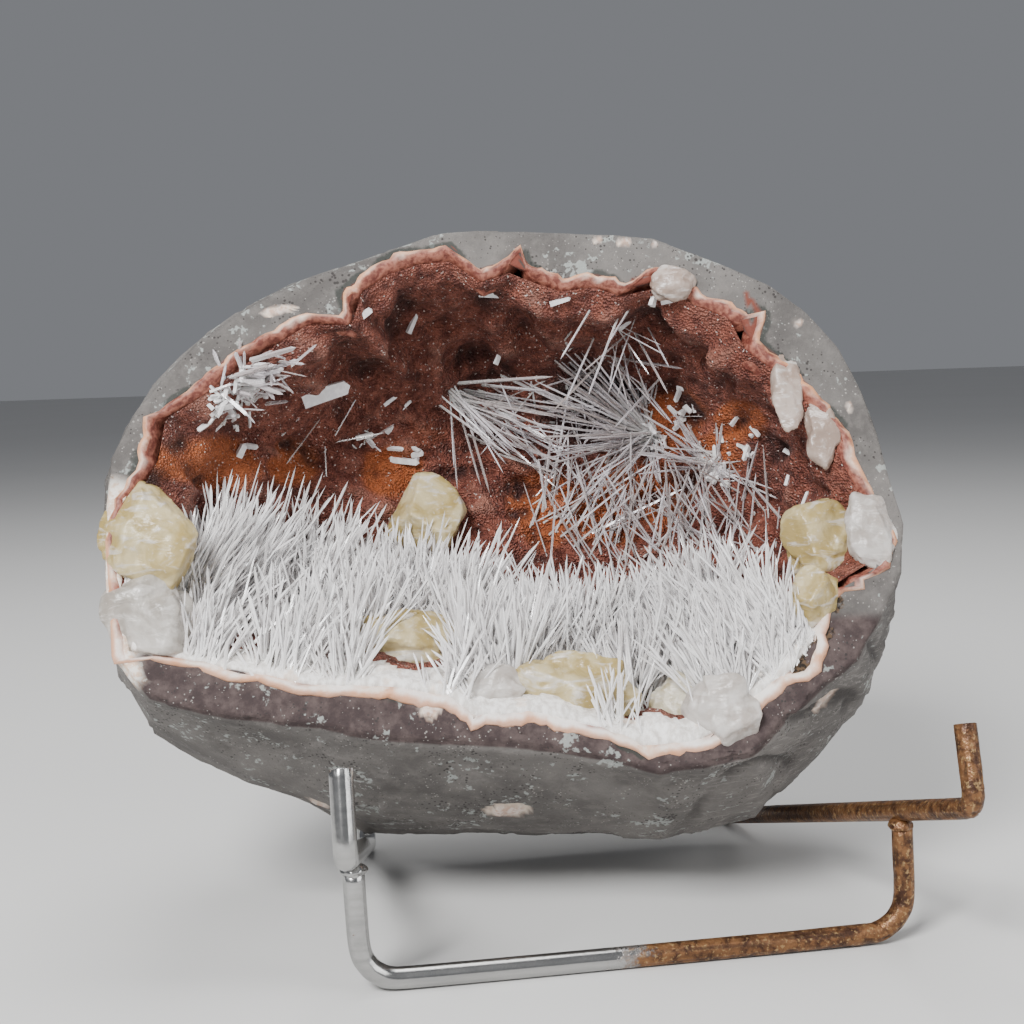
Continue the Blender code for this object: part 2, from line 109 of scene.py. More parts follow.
class Finish:
    """A material being made, with the few nodes that its recipes use."""

    def __init__(self, name, **sockets):
        self.material = bpy.data.materials.new(name)
        self.material.use_nodes = True
        self.nodes = self.material.node_tree.nodes
        self.links = self.material.node_tree.links
        self.shader = self.nodes["Principled BSDF"]
        self.place = self.node("TexCoord", output="Object")
        self.set(**sockets)

    def feed(self, slot, value):
        if isinstance(value, Field):
            self.links.new(value.socket, slot)
        elif isinstance(value, tuple) and len(value) == 3 and slot.type == "RGBA":
            slot.default_value = (*value, 1.0)
        else:
            slot.default_value = value

    def set(self, **sockets):
        for name, value in sockets.items():
            self.feed(self.shader.inputs[name.replace("_", " ")], value)
        return self

    def node(self, kind, settings=None, output=0, **sockets):
        node = self.nodes.new("ShaderNode" + kind)
        for name, value in (settings or {}).items():
            setattr(node, name, value)
        for name, value in sockets.items():
            self.feed(node.inputs[name.replace("_", " ")], value)
        return Field(self, node.outputs[output])

    def noise(self, scale, detail=2.0, roughness=0.55, distortion=0.0, vector=None):
        return self.node("TexNoise", Vector=vector or self.place, Scale=scale, Detail=detail,
                         Roughness=roughness, Distortion=distortion)

    def cells(self, scale, feature="F1", output="Distance", vector=None, randomness=1.0):
        return self.node("TexVoronoi", {"feature": feature}, output, Vector=vector or self.place,
                         Scale=scale, Randomness=randomness)

    def step(self, value, low, high, smooth=True):
        """0 below the low value, 1 above the high one."""
        kind = {"interpolation_type": "SMOOTHSTEP" if smooth else "LINEAR"}
        node = self.nodes.new("ShaderNodeMapRange")
        node.interpolation_type = kind["interpolation_type"]
        self.feed(node.inputs["Value"], value)
        node.inputs["From Min"].default_value = low
        node.inputs["From Max"].default_value = high
        return Field(self, node.outputs["Result"])

    def mix(self, factor, first, second, blend="MIX"):
        node = self.nodes.new("ShaderNodeMix")
        node.data_type = "RGBA"
        node.blend_type = blend
        self.feed(node.inputs["Factor"], factor)
        colours = [slot for slot in node.inputs if slot.type == "RGBA"]
        self.feed(colours[0], first)
        self.feed(colours[1], second)
        return Field(self, [slot for slot in node.outputs if slot.type == "RGBA"][0])

    def stretched(self, matrix_scale, turn=(0.0, 0.0, 0.0)):
        return self.node("Mapping", Vector=self.place, Scale=matrix_scale, Rotation=turn)

    def attribute(self, name):
        return self.node("Attribute", {"attribute_name": name}, "Fac")

    def bump(self, height, distance, strength=1.0, under=None):
        sockets = {"Height": height, "Distance": distance, "Strength": strength}
        if under is not None:
            sockets["Normal"] = under
        return self.node("Bump", None, "Normal", **sockets)


def only(*pieces):
    """Select these pieces alone, the first one active."""
    if bpy.context.object and bpy.context.object.mode != "OBJECT":
        bpy.ops.object.mode_set(mode="OBJECT")
    bpy.ops.object.select_all(action="DESELECT")
    for piece in pieces:
        piece.select_set(True)
    bpy.context.view_layer.objects.active = pieces[0]


def settle(piece):
    """Apply the piece's modifiers and its place."""
    only(piece)
    for modifier in list(piece.modifiers):
        bpy.ops.object.modifier_apply(modifier=modifier.name)
    bpy.ops.object.transform_apply(location=True, rotation=True, scale=True)
    return piece


def points_of(mesh):
    co = np.empty(len(mesh.vertices) * 3)
    mesh.vertices.foreach_get("co", co)
    return co.reshape(-1, 3)


def set_points(mesh, co):
    mesh.vertices.foreach_set("co", np.asarray(co, dtype=np.float32).ravel())
    mesh.update()


def normals_of(mesh):
    n = np.empty(len(mesh.vertices) * 3)
    mesh.vertex_normals.foreach_get("vector", n)
    return n.reshape(-1, 3)


def to_frame(points):
    """Points of the stone's frame, as an array, in the row's frame."""
    turn = np.array(STONE.to_3x3())
    return points @ turn.T + np.array(STONE.translation)


def to_stone(points):
    """Points of the row's frame, as an array, in the stone's frame."""
    turn = np.array(TO_STONE.to_3x3())
    return points @ turn.T + np.array(TO_STONE.translation)


def store(mesh, name, values):
    """Keep a value for each vertex, for the material to read."""
    attribute = mesh.attributes.new(name, "FLOAT", "POINT")
    attribute.data.foreach_set("value", np.asarray(values, dtype=np.float32))


def copy_node(node, name):
    """A copy of a CAD node's mesh, its loose triangles merged."""
    piece = bpy.data.objects.new(name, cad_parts[node].data.copy())
    bpy.context.scene.collection.objects.link(piece)
    piece.data.materials.clear()
    only(piece)
    bpy.ops.object.mode_set(mode="EDIT")
    bpy.ops.mesh.select_all(action="SELECT")
    bpy.ops.mesh.remove_doubles(threshold=0.01 * MM)
    bpy.ops.object.mode_set(mode="OBJECT")
    return piece


def dress(piece, finish, slot, *nodes):
    """Give the piece its finish, hang it on the body, and hide the CAD nodes that it stands for."""
    piece.data.materials.clear()
    piece.data.materials.append(finish.material)
    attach(piece, "root")
    if nodes:
        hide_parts(*nodes)
    return piece


def value_noise(points, scale, seed=0.0):
    """Smooth noise from about -1 to 1 at each point, its lumps about 1 / scale metres across."""
    shift = Vector((seed, seed * 0.37, -seed * 0.71))
    return np.array([noise.noise(Vector(p) * scale + shift) for p in points])


def chips(points, size, seed):
    """Flat tilted flakes, as a hammer leaves them: a depth from 0 to about 1 at each point."""
    rng = np.random.default_rng(seed)
    low = points.min(axis=0) - size
    high = points.max(axis=0) + size
    count = int(np.prod((high - low) / size))
    seeds = low + (high - low) * rng.random((count, 3))
    tilts = rng.normal(size=(count, 3))
    tilts /= np.linalg.norm(tilts, axis=1, keepdims=True)
    tree = KDTree(count)
    for index, seed_point in enumerate(seeds):
        tree.insert(seed_point, index)
    tree.balance()
    nearest = np.array([tree.find(p)[1] for p in points])
    return 0.5 + 0.5 * np.einsum("ij,ij->i", points - seeds[nearest], tilts[nearest]) / size


def rounded(values, low, high):
    """0 below low, 1 above high, with soft ends."""
    t = np.clip((values - low) / (high - low), 0.0, 1.0)
    return t * t * (3.0 - 2.0 * t)


# Basalt

# Pale pods in the basalt: their place in the stone's frame, half length, half width, turn in degrees
PODS = (
    (-41.3, 0.0, 37.0, 3.4, 0.95, 12),
    (-15.6, 0.0, -40.7, 1.9, 1.7, 0),
    (-1.4, 21.8, -57.9, 4.6, 3.1, -3),
    (-38.2, 31.4, -53.8, 2.4, 1.6, -18),
    (59.8, 9.3, -41.2, 3.1, 1.3, 35),
    (20.8, 0.0, 49.8, 0.9, 0.5, 0),
    (25.8, 0.0, 49.2, 1.5, 0.6, -5),
    (31.4, 0.0, 48.2, 0.8, 0.4, 20),
    (-51.0, 1.0, 38.0, 0.9, 0.5, 30),
    (58.0, 0.0, 31.0, 0.8, 0.5, -50),
    (66.0, 0.0, 14.0, 1.0, 0.5, -70),
    (20.0, 40.0, 60.0, 3.0, 2.0, 10),
    (-50.0, 35.0, 30.0, 2.6, 1.6, 60),
    (40.0, 62.0, 10.0, 4.0, 2.4, 40),
    (-20.0, 68.0, -10.0, 3.0, 2.0, 10),
)
# Places in the stone's frame of the dark mossy patch and of the dark seam outside the rim, with a size
MOSS = ((64.5, 3.0, -17.5, 5.5), (59.0, 2.0, -23.0, 4.6), (57.0, 2.0, -29.5, 4.2), (52.5, 1.0, -36.0, 3.6))
SEAM = ((-26.0, 0.0, 40.0, 8.0), (-18.5, 0.0, 48.0, 8.0), (-9.0, 0.0, 48.0, 7.0), (-71.0, 0.0, 7.0, 7.0),
        (51.0, 0.0, 30.0, 8.0), (55.0, 0.0, 23.0, 6.0), (7.0, 0.0, 45.0, 5.0), (22.0, 0.0, 43.0, 5.0),
        (-60.0, 0.0, 20.0, 5.0), (64.0, 0.0, 12.0, 5.0), (-20.0, 0.0, -39.0, 7.0), (20.0, 0.0, -50.0, 5.0))


def nearness(stone, places):
    """1 in the middle of the listed places, falling to 0 at their size."""
    near = np.zeros(len(stone))
    for across, back, up, size in places:
        gap = np.linalg.norm(stone - np.array((across, back, up)) * MM, axis=1) / (size * MM)
        near = np.maximum(near, 1.0 - rounded(gap, 0.35, 1.0))
    return near


def outer_faces(piece):
    """Select the faces of the stone's outer skin: those that look away from its hollow."""
    mesh = piece.data
    middle = Vector((5.0, 8.0, 6.0)) * MM
    turn = TO_STONE.to_3x3()
    for face in mesh.polygons:
        centre = TO_STONE @ face.center
        normal = turn @ face.normal
        face.select = normal.dot(middle - centre) <= 0.0


def basalt():
    """The boulder: flaked, chiselled and pitted inside the outline of its solid."""
    piece = copy_node("basalt_shell", "basalt_matrix")
    bpy.ops.object.mode_set(mode="EDIT")
    bpy.ops.mesh.select_all(action="DESELECT")
    bpy.ops.object.mode_set(mode="OBJECT")
    for part in (piece.data.vertices, piece.data.edges):
        part.foreach_set("select", np.zeros(len(part), dtype=bool))
    outer_faces(piece)
    bpy.ops.object.mode_set(mode="EDIT")
    bpy.ops.mesh.subdivide(number_cuts=8, smoothness=0.0)
    bpy.ops.mesh.quads_convert_to_tris()
    bpy.ops.object.mode_set(mode="OBJECT")
    mesh = piece.data
    outer_faces(piece)
    skin = np.zeros(len(mesh.vertices), dtype=bool)
    for face in mesh.polygons:
        if face.select:
            skin[list(face.vertices)] = True
    place = points_of(mesh)
    stone = to_stone(place)
    spokes = stone * np.array([1.0, 0.45, 1.0]) - np.array([0.0, 12.0, 0.0]) * MM
    inward = -spokes / np.linalg.norm(spokes, axis=1, keepdims=True)
    flank = rounded(stone[:, 1], 0.5 * MM, 7.0 * MM)
    across, up = stone[:, 0] / MM, stone[:, 2] / MM
    low = 1.0 - rounded(up + 4.0 * value_noise(place, 60.0, 12.0), -34.0, -22.0)
    depth = flank * (1.5 * chips(place, 17.0 * MM, 3) + 0.5 * chips(place, 7.0 * MM, 5))
    depth += 0.16 * np.abs(value_noise(place, 420.0)) + 0.06 * (1 + value_noise(place, 1100.0))
    face = 1.0 - rounded(stone[:, 1], 0.2 * MM, 2.5 * MM)
    broken = face * low
    depth += broken * (1.3 * chips(place, 8.0 * MM, 8) + 0.5 * np.abs(value_noise(place, 300.0, 4.0)))
    depth += face * (1.0 - low) * 0.5 * chips(place, 12.0 * MM, 6)
    chisel = rounded(across, 26.0, 40.0) * (1.0 - rounded(up, -18.0, -6.0)) * rounded(stone[:, 1], 0.0, 3.0 * MM)
    sweep = np.sin((up - 0.42 * across + 0.22 * stone[:, 1] / MM) * 1.15 + 2.6 * value_noise(place, 45.0, 9.0))
    # The grooves are cut into the stone here and darkened in the finish with painted shade
    groove = chisel * rounded(sweep, 0.72, 0.98) * rounded(value_noise(place, 60.0, 41.0), -0.35, 0.0)
    depth += chisel * 0.5 * (0.5 + 0.5 * sweep) + 0.7 * groove
    pods = np.zeros(len(place))
    ring = np.zeros(len(place))
    for pod_across, pod_back, pod_up, half_long, half_wide, turn in PODS:
        axis = np.array((math.cos(math.radians(turn)), 0.0, math.sin(math.radians(turn))))
        gap = (stone - np.array((pod_across, pod_back, pod_up)) * MM) / MM
        along = gap @ axis
        over = np.linalg.norm(gap - along[:, None] * axis, axis=1)
        reach = np.hypot(along / half_long, over / half_wide)
        reach += 0.12 * value_noise(place, 500.0, pod_across)
        pods = np.maximum(pods, 1.0 - rounded(reach, 0.9, 1.05))
        ring = np.maximum(ring, (1.0 - rounded(np.abs(reach - 0.88), 0.06, 0.26)))
    depth += 0.5 * ring - 0.3 * pods * (1.0 - ring)
    moved = stone + inward * (np.maximum(depth, 0.0) * skin * MM)[:, None]
    set_points(mesh, to_frame(moved))
    rim = KDTree(RIM_AROUND)
    for index, point in enumerate(rim_line(RIM_AROUND)):
        rim.insert(point, index)
    rim.balance()
    gap = np.array([rim.find(point)[2] for point in stone])
    seam = nearness(stone, SEAM) * (1.0 - rounded(gap, 0.8 * MM, 2.6 * MM))
    inner = np.array([np.linalg.norm(rim.find(point)[0]) for point in stone])
    inside = face * (np.linalg.norm(stone, axis=1) < inner) * rounded(up, -12.0, 0.0)
    ragged = 2.0 * value_noise(place, 260.0, 31.0)
    crust = ((1.0 - rounded(across + ragged, -68.5, -66.5)) * rounded(up + ragged, -35.0, -32.5)
             * (1.0 - rounded(up + ragged, 2.0, 5.0)) * (1.0 - rounded(stone[:, 1] / MM + ragged, 1.5, 4.0)))
    for name, values in (("pod", pods), ("ring", ring), ("broken", broken), ("chisel", chisel),
                         ("groove", groove),
                         ("moss", nearness(stone, MOSS)), ("seam", seam), ("inside", inside),
                         ("crust", crust)):
        store(mesh, name, values)
    mesh.shade_smooth()
    only(piece)
    bpy.ops.object.shade_smooth_by_angle(angle=math.radians(28))
    return dress(piece, basalt_finish(), "basalt", "basalt_shell")


def basalt_finish():
    finish = Finish("grey-brown basalt", Specular_IOR_Level=0.35)
    broad = finish.noise(45.0)
    grain = finish.noise(1700.0, 1.0, 0.7)
    mottle = finish.noise(330.0, 4.0, 0.66)
    broken = finish.attribute("broken")
    face = finish.mix(finish.step(mottle, 0.35, 0.7), (0.04, 0.027, 0.027), (0.09, 0.066, 0.062))
    outside = finish.mix(finish.step(broad, 0.35, 0.65), (0.085, 0.078, 0.074), (0.145, 0.135, 0.127))
    outside = finish.mix(finish.step(mottle, 0.4, 0.75) * 0.5, outside, (0.2, 0.185, 0.172))
    colour = finish.mix(finish.step(broken + (broad - 0.5) * 0.4, 0.3, 0.6), outside, face)
    lumps = finish.noise(150.0, 3.0, 0.7)
    crumbs = finish.noise(800.0, 2.0, 0.6)
    pale = finish.step(lumps * 0.62 + crumbs * 0.38, 0.575, 0.615)
    fleck = finish.step(finish.noise(260.0, 2.0) - finish.cells(1300.0) * 1.1, 0.36, 0.44)
    pores = finish.step(finish.noise(140.0, 2.0) - finish.cells(1150.0) * 0.9, 0.34, 0.42)
    colour = finish.mix(pale * 0.6, colour, (0.36, 0.39, 0.37))
    colour = finish.mix(fleck * 0.5, colour, (0.42, 0.4, 0.37))
    colour = finish.mix(pores * 0.85, colour, (0.03, 0.026, 0.025))
    scrape = finish.noise(1.0, 2.0, 0.7, vector=finish.stretched((240.0, 240.0, 1500.0), (0.4, 0.7, 0.2)))
    colour = finish.mix(finish.attribute("chisel") * finish.step(scrape, 0.52, 0.7) * 0.4, colour,
                        (0.33, 0.31, 0.29))
    # Painted shade: the chisel grooves are darkened
    colour = finish.mix(finish.attribute("groove") * 0.75, colour, (0.03, 0.026, 0.025))
    ragged = (crumbs - 0.5) * 1.2
    seam = finish.step(finish.attribute("seam") + ragged * 0.6, 0.35, 0.75)
    colour = finish.mix(seam * 0.75, colour, (0.022, 0.028, 0.024))
    moss = finish.step(finish.attribute("moss") + ragged, 0.35, 0.6)
    colour = finish.mix(moss, colour, finish.mix(finish.step(grain, 0.4, 0.6), (0.012, 0.008, 0.005),
                                                 (0.09, 0.055, 0.03)))
    colour = finish.mix(finish.attribute("inside"), colour, (0.16, 0.045, 0.03))
    cream = finish.mix(finish.step(crumbs, 0.4, 0.62), (0.82, 0.77, 0.7), (0.68, 0.5, 0.38))
    colour = finish.mix(finish.attribute("crust"), colour, cream)
    pod = finish.attribute("pod")
    rind = finish.attribute("ring")
    filling = finish.mix(finish.step(crumbs, 0.4, 0.6), (0.66, 0.56, 0.5), (0.5, 0.33, 0.25))
    filling = finish.mix(rind * 0.8, filling, (0.72, 0.6, 0.48))
    colour = finish.mix(pod, colour, filling)
    height = grain * 0.4 + mottle * 0.6
    finish.set(Base_Color=colour, Roughness=0.85 - pod * 0.3 - pale * 0.2,
               Normal=finish.bump(height, 0.5 * MM, 0.8))
    return finish


# Lining of the hollow

LINING_AROUND = 330
LINING_ROWS = 96
# The throat of the hollow, sunk deeper and darkened with painted shade: across and up where it meets the face's plane,
# how it climbs to the right and up for each millimetre back, and its radius
DEEP_PLACE = (18.0, 17.0)
DEEP_CLIMB = (0.12, 0.33)
DEEP_WIDTH = 16.0
# Orange stains, found the same way: across, up and radius
ORANGE = ((36.0, 12.0, 11.0), (33.0, -4.0, 13.0), (47.0, 4.0, 9.0), (6.0, -8.0, 13.0), (20.0, -10.0, 12.0),
          (52.0, 12.0, 7.0), (-30.0, 3.0, 9.0), (26.0, 1.0, 9.0), (-62.0, 7.0, 8.0), (-50.0, 6.0, 7.0))


def hollow_wall():
    """The hollow's wall, out of the CAD solid: a tree for casting rays."""
    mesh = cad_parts["basalt_shell"].data
    return BVHTree.FromPolygons([v.co for v in mesh.vertices], [tuple(p.vertices) for p in mesh.polygons])


def lining():
    """The druzy lining: a half sphere pressed on to the hollow's wall, then built up in lumps and ledges."""
    middle = Vector((3.0, 0.6, 1.0)) * MM
    bpy.ops.mesh.primitive_uv_sphere_add(segments=LINING_AROUND, ring_count=2 * LINING_ROWS, radius=10.0 * MM)
    piece = bpy.context.object
    piece.name = "druzy_lining"
    bpy.ops.object.mode_set(mode="EDIT")
    bpy.ops.mesh.select_all(action="SELECT")
    bpy.ops.transform.rotate(value=math.pi / 2, orient_axis="X", center_override=(0.0, 0.0, 0.0))
    bpy.ops.mesh.bisect(plane_co=(0.0, 0.0, 0.0), plane_no=(0.0, 1.0, 0.0), clear_inner=True)
    bpy.ops.object.mode_set(mode="OBJECT")
    mesh = piece.data
    wall = hollow_wall()
    stone = points_of(mesh)
    turn = STONE.to_3x3()
    start = STONE @ middle
    hits = []
    for point in stone:
        way = Vector(point)
        way.y = max(way.y, 0.0)
        hit = wall.ray_cast(start, (turn @ way).normalized())[0]
        hits.append(hit if hit is not None else start)
    rim = stone[:, 1] < 1e-6
    place = to_stone(np.array(hits))
    spoke = place - np.array(middle)
    length = np.linalg.norm(spoke, axis=1, keepdims=True)
    spoke /= length
    back = place[:, 1] / MM
    across = place[:, 0] / MM - DEEP_CLIMB[0] * back
    up = place[:, 2] / MM - DEEP_CLIMB[1] * back
    away = np.hypot(across - DEEP_PLACE[0], up - DEEP_PLACE[1])
    # The deep throat: sunk back in the wall here, and darkened in the finish with painted shade
    deep = (1.0 - rounded(away, DEEP_WIDTH * 0.4, DEEP_WIDTH)) * rounded(back, 8.0, 16.0)
    orange = np.zeros(len(place))
    for spot_across, spot_up, size in ORANGE:
        gap = np.hypot(across - spot_across, up - spot_up) / size
        orange = np.maximum(orange, 1.0 - rounded(gap, 0.3, 1.1))
    big = value_noise(place, 75.0, 1.0)
    ledge = value_noise(place * np.array([1.0, 1.0, 2.2]), 110.0, 5.0)
    ledge = np.floor(ledge * 5.0 + 0.5) / 5.0 * 0.7 + ledge * 0.3
    knobs = 1.0 - np.abs(value_noise(place, 230.0, 2.0))
    beads = value_noise(place, 620.0, 3.0)
    tiny = value_noise(place, 1400.0, 6.0)
    fade = rounded(back, 0.5, 7.0)
    rise = 3.0 + fade * (2.4 + 2.4 * big + 2.6 * ledge + 1.2 * knobs + 0.4 * beads + 0.25 * tiny)
    rise -= deep * 4.5
    rise = np.maximum(rise, 0.8)
    moved = place - spoke * (rise * MM)[:, None]
    moved[rim] = place[rim] - spoke[rim] * 2.2 * MM
    moved[rim, 1] = 0.6 * MM
    set_points(mesh, to_frame(moved))
    # The relief is the lining's height, kept for its colour: painted shade in the low hollows, painted light on the
    # high lumps
    relief = 0.5 + 0.25 * big + 0.35 * ledge + 0.2 * (knobs - 0.7) + 0.12 * beads
    for name, values in (("relief", np.clip(relief, 0.0, 1.0)), ("deep", deep), ("orange", orange)):
        store(mesh, name, values)
    only(piece)
    bpy.ops.object.mode_set(mode="EDIT")
    bpy.ops.mesh.select_all(action="SELECT")
    bpy.ops.mesh.normals_make_consistent(inside=True)
    bpy.ops.object.mode_set(mode="OBJECT")
    mesh.shade_smooth()
    return dress(piece, lining_finish(), "crystals", "crystal_crust")


def lining_finish():
    finish = Finish("red-brown druzy lining")
    relief = finish.attribute("relief")
    deep = finish.attribute("deep")
    broad = finish.noise(55.0, 3.0)
    mottle = finish.noise(420.0, 4.0, 0.7)
    colour = finish.mix(finish.step(mottle, 0.32, 0.68), (0.105, 0.023, 0.015), (0.3, 0.095, 0.062))
    stain = finish.step(finish.attribute("orange") + (broad - 0.5) * 1.8, 0.25, 0.8)
    colour = finish.mix(stain * 0.85, colour, finish.mix(mottle, (0.28, 0.05, 0.01), (0.52, 0.15, 0.04)))
    # Painted shade darkens the low hollows of the relief, and painted light brightens its high lumps
    colour = finish.mix(1.0 - finish.step(relief, 0.18, 0.5), colour, (0.045, 0.011, 0.008))
    colour = finish.mix(finish.step(relief, 0.6, 0.85) * 0.4, colour, (0.45, 0.22, 0.16))
    # Painted shade: the deep throat is darkened
    colour = finish.mix(deep * 0.8, colour, (0.05, 0.03, 0.032))
    facets = finish.cells(2100.0)
    # Painted glints: sparse pale specks over the lining, a little glossier
    glint = finish.node("TexVoronoi", {"feature": "F1"}, "Color", Vector=finish.place, Scale=3300.0)
    spark = finish.step(finish.node("SeparateColor", None, 0, Color=glint), 0.975, 0.983)
    colour = finish.mix(spark * 0.6, colour, (0.85, 0.74, 0.68))
    height = facets * 1.2 + mottle * 1.1
    finish.set(Base_Color=colour, Roughness=0.6 - spark * 0.4, Normal=finish.bump(height, 0.8 * MM, 1.0))
    return finish


# Rim of the crust

def mouth_line(count):
    """The mouth of the hollow, in the stone's frame: points round the edge of the broken face."""
    wall = hollow_wall()
    start = STONE @ (Vector((3.0, 0.4, 1.0)) * MM)
    turn = STONE.to_3x3()
    line = []
    for step in range(count):
        angle = 2 * math.pi * step / count
        way = turn @ Vector((math.cos(angle), 0.0, math.sin(angle)))
        hit = wall.ray_cast(start, way)[0]
        line.append(TO_STONE @ hit)
    return line


# The crust's broken edge in the face's plane, as across and up
RIM = ((-70.5, 2.0), (-66.5, 4.0), (-65.0, 7.5), (-67.0, 8.5), (-65.0, 16.5), (-58.5, 18.5), (-54.0, 24.5),
       (-49.0, 28.5), (-45.5, 29.0), (-37.5, 35.5), (-34.0, 35.5), (-27.5, 33.5), (-29.0, 40.0),
       (-20.5, 44.5), (-18.5, 47.5), (-14.0, 46.5), (-8.5, 48.5), (-7.5, 44.5), (-4.5, 43.0), (0.5, 43.0),
       (5.5, 48.5), (6.5, 43.0), (11.0, 39.5), (19.0, 42.0), (25.0, 39.0), (29.5, 42.5), (32.5, 43.0),
       (36.0, 40.5), (39.0, 37.5), (43.0, 33.5), (48.5, 33.0), (51.0, 34.5), (51.5, 32.5), (49.5, 28.0),
       (48.5, 26.0), (50.5, 23.5), (57.0, 20.5), (59.5, 14.5), (63.0, 11.5), (65.5, 7.5), (65.0, 2.5),
       (67.0, -2.5), (70.5, -7.5), (72.0, -12.0), (69.0, -18.5), (65.5, -21.0), (63.0, -19.5),
       (59.0, -21.5), (56.5, -25.5), (57.0, -31.0), (54.5, -37.0), (49.5, -38.0), (45.5, -39.5),
       (43.0, -43.5), (37.5, -47.5), (33.5, -49.0), (22.5, -50.0), (21.5, -48.0), (13.0, -45.0),
       (8.5, -44.5), (3.5, -43.0), (0.5, -42.5), (-6.5, -42.5), (-8.5, -44.0), (-9.0, -39.5),
       (-12.5, -39.5), (-22.0, -37.0), (-29.0, -36.5), (-39.0, -35.5), (-44.5, -33.0), (-49.0, -33.5),
       (-54.0, -32.0), (-59.0, -28.0), (-64.0, -28.5), (-67.0, -31.5), (-70.0, -31.0),
       (-71.5, -20.0), (-72.0, -8.0))
RIM_AROUND = 1000
RIM_ACROSS = 16


def rim_line(count):
    """Points round the rim, in the stone's frame, nowhere inside the mouth of the hollow."""
    middle = np.array((3.0, 1.0))
    spokes = np.array(RIM) - middle
    angles = np.arctan2(spokes[:, 1], spokes[:, 0])
    reach = np.hypot(spokes[:, 0], spokes[:, 1])
    order = np.argsort(angles)
    turns = np.arange(count) / count * 2 * math.pi
    wide = np.interp(turns, angles[order], reach[order], period=2 * math.pi)
    mouth = np.array(mouth_line(count)) / MM
    wide = np.maximum(wide, np.hypot(mouth[:, 0] - middle[0], mouth[:, 2] - middle[1]) + 0.2)
    return np.stack([middle[0] + wide * np.cos(turns), np.zeros(count),
                     middle[1] + wide * np.sin(turns)], axis=1) * MM


def rim_band():
    """The crust's broken edge: cream and orange outside, with a skirt that runs into the lining."""
    line = rim_line(RIM_AROUND)
    middle = np.array((3.0, 0.0, 1.0)) * MM
    outward = line - middle
    outward /= np.linalg.norm(outward, axis=1, keepdims=True)
    bpy.ops.mesh.primitive_torus_add(major_segments=RIM_AROUND, minor_segments=RIM_ACROSS,
                                     major_radius=10.0 * MM, minor_radius=1.0 * MM)
    piece = bpy.context.object
    piece.name = "rim_band"
    mesh = piece.data
    ring = points_of(mesh)
    angle = np.arctan2(ring[:, 1], ring[:, 0])
    index = np.round(angle / (2 * math.pi) * RIM_AROUND).astype(int) % RIM_AROUND
    section_out = (np.hypot(ring[:, 0], ring[:, 1]) - 10.0 * MM) / MM
    section_front = ring[:, 2] / MM
    base = line[index]
    out = outward[index]
    frill = 0.6 * value_noise(base, 330.0, 3.0) + 0.7 * value_noise(base, 800.0, 4.0)
    lower = rounded(-base[:, 2] / MM, 18.0, 34.0)
    wide = 2.1 + 0.5 * value_noise(base, 90.0, 7.0) + lower * 0.4
    stone = base + out * (((section_out - 1.0) * wide + 0.6 + 0.9 * frill) * MM)[:, None]
    slope = np.maximum(0.35 - section_out, 0.0) * 2.7
    stone[:, 1] = (0.3 - section_front * (1.0 + 0.5 * frill) + slope) * MM
    bumps = 0.3 * value_noise(stone, 900.0, 2.0) + 0.4 * value_noise(stone, 380.0, 8.0)
    stone[:, 1] -= bumps * MM * (section_front > -0.2)
    set_points(mesh, to_frame(stone))
    bare = 0.72 - 0.5 * lower - 0.3 * value_noise(base, 120.0, 21.0)
    cream = rounded(0.5 + 0.5 * section_out - bare + 0.25 * value_noise(stone, 500.0, 5.0), 0.0, 0.2)
    store(mesh, "outer", np.clip(0.5 + 0.5 * section_out, 0.0, 1.0))
    store(mesh, "cream", cream)
    store(mesh, "lower", lower)
    only(piece)
    bpy.ops.object.mode_set(mode="EDIT")
    bpy.ops.mesh.select_all(action="SELECT")
    bpy.ops.mesh.normals_make_consistent(inside=False)
    bpy.ops.object.mode_set(mode="OBJECT")
    mesh.shade_smooth()
    return dress(piece, rim_finish(), "crystals")


def rim_finish():
    finish = Finish("cream and orange rim")
    outer = finish.attribute("outer")
    lower = finish.attribute("lower")
    blotch = finish.noise(160.0, 4.0, 0.6)
    fine = finish.noise(900.0, 4.0, 0.6)
    colour = finish.mix(finish.step(blotch, 0.42, 0.62), (0.78, 0.66, 0.56), (0.68, 0.35, 0.2))
    colour = finish.mix(finish.step(fine, 0.5, 0.7) * 0.5, colour, (0.9, 0.84, 0.77))
    colour = finish.mix(lower * finish.step(finish.noise(120.0), 0.35, 0.6) * 0.8, colour, (0.88, 0.85, 0.82))
    edge = finish.step(outer + blotch * 0.5, 0.9, 1.15)
    colour = finish.mix(edge * 0.8, colour, (0.6, 0.27, 0.13))
    red = finish.mix(finish.step(fine, 0.35, 0.65), (0.13, 0.028, 0.018), (0.33, 0.12, 0.08))
    colour = finish.mix(finish.attribute("cream"), red, colour)
    finish.set(Base_Color=colour, Roughness=0.55, Normal=finish.bump(fine + blotch, 0.4 * MM, 0.6))
    return finish


# Needles

def one_needle(name):
    """One slender crystal, a unit long: a square prism that ends in a blunt point."""
    bpy.ops.mesh.primitive_cube_add(size=1.0, location=(0.0, 0.0, 0.5))
    piece = bpy.context.object
    piece.name = name
    bpy.ops.object.transform_apply(location=True)
    bpy.ops.object.mode_set(mode="EDIT")
    bpy.ops.mesh.select_mode(type="FACE")
    bpy.ops.mesh.select_all(action="DESELECT")
    bpy.ops.object.mode_set(mode="OBJECT")
    for face in piece.data.polygons:
        face.select = face.normal.z > 0.9
    bpy.ops.object.mode_set(mode="EDIT")
    bpy.ops.transform.translate(value=(0.0, 0.0, -0.1))
    bpy.ops.transform.resize(value=(0.82, 0.82, 1.0))
    bpy.ops.mesh.extrude_region_move(TRANSFORM_OT_translate={"value": (0.0, 0.0, 0.1)})
    bpy.ops.mesh.merge(type="CENTER")
    bpy.ops.mesh.select_all(action="SELECT")
    bpy.ops.mesh.normals_make_consistent(inside=False)
    bpy.ops.object.mode_set(mode="OBJECT")
    return piece


